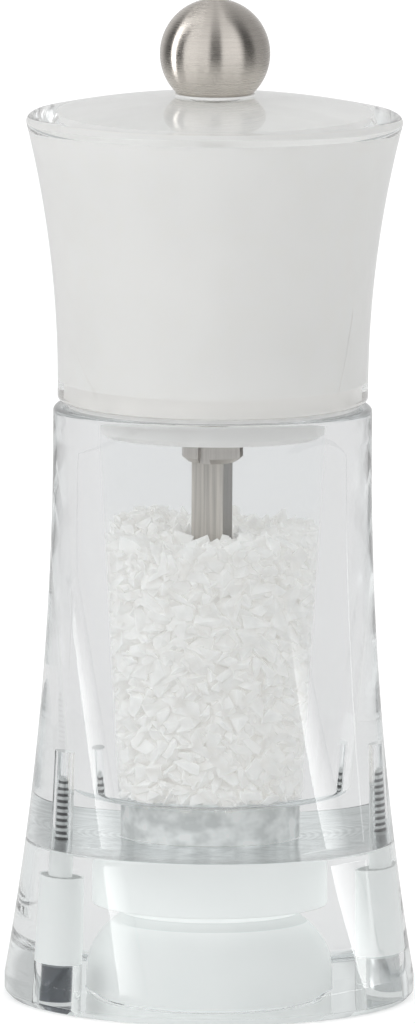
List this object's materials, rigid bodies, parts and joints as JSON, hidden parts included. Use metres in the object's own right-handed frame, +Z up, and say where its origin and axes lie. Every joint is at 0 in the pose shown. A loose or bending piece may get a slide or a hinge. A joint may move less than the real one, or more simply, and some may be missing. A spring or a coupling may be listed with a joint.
{
  "type": "salt mill",
  "caption": "Clear flared hand mill filled with coarse salt, with a white-cored clear head that turns a square shaft and a steel ball knob that sets the grind.",
  "frame": {"origin": "centre of the foot's underside, on the surface that the mill stands on", "axes": "+Z up along the mill's axis, -Y towards the viewer of the picture, +X to the right with the screws on the X axis"},
  "size_m": [0.0574, 0.0574, 0.1404],
  "materials": {
    "clear_acrylic": "clear, polished",
    "white_core": "white, smooth",
    "glide_polymer": "pale, satin",
    "white_ceramic": "white ceramic, matt",
    "brushed_steel": "fine brushed",
    "drawn_steel": "drawn, satin",
    "bright_steel": "bright",
    "coarse_salt": "coarse white crystals"
  },
  "bodies": {
    "body": {"reservoir": "clear_acrylic", "base": "clear_acrylic", "glide_ring": "glide_polymer", "stator": "white_ceramic", "bridge": "drawn_steel", "base_screws": "bright_steel", "screw_washers": "bright_steel", "foot_plugs": "bright_steel", "salt_charge": "coarse_salt"},
    "bush": {"bridge_bush": "glide_polymer"},
    "spindle": {"spindle": "drawn_steel", "stop_collar": "drawn_steel", "rotor": "white_ceramic", "spring": "bright_steel", "rotor_washer": "bright_steel", "rotor_clip": "bright_steel"},
    "head": {"head_shell": "clear_acrylic", "head_cap": "clear_acrylic", "head_core": "white_core", "head_plug": "white_core", "drive_plate": "drawn_steel", "plug_screws": "bright_steel", "knob_washer": "glide_polymer"},
    "knob": {"knob": "brushed_steel"}
  },
  "joints": [
    {"name": "head_turn", "type": "hinge", "parent": "body", "child": "bush", "pos_m": [0, 0, 0.0223], "axis": [0, 0, 1], "continuous": true},
    {"name": "grind_setting", "type": "slide", "parent": "bush", "child": "spindle", "axis": [0, 0, 1], "range_m": [-0.0005, 0.0005], "deforming": ["spring"]},
    {"name": "head_lift", "type": "slide", "parent": "bush", "child": "head", "axis": [0, 0, 1], "range_m": [0, 0.06]},
    {"name": "knob_turn", "type": "hinge", "parent": "head", "child": "knob", "pos_m": [0, 0, 0.1327], "axis": [0, 0, 1], "range_deg": [-257, 257]}
  ],
  "couplings": [
    {"joint": "grind_setting", "follows": "knob_turn", "m_per_rad": -0.00011141}
  ]
}
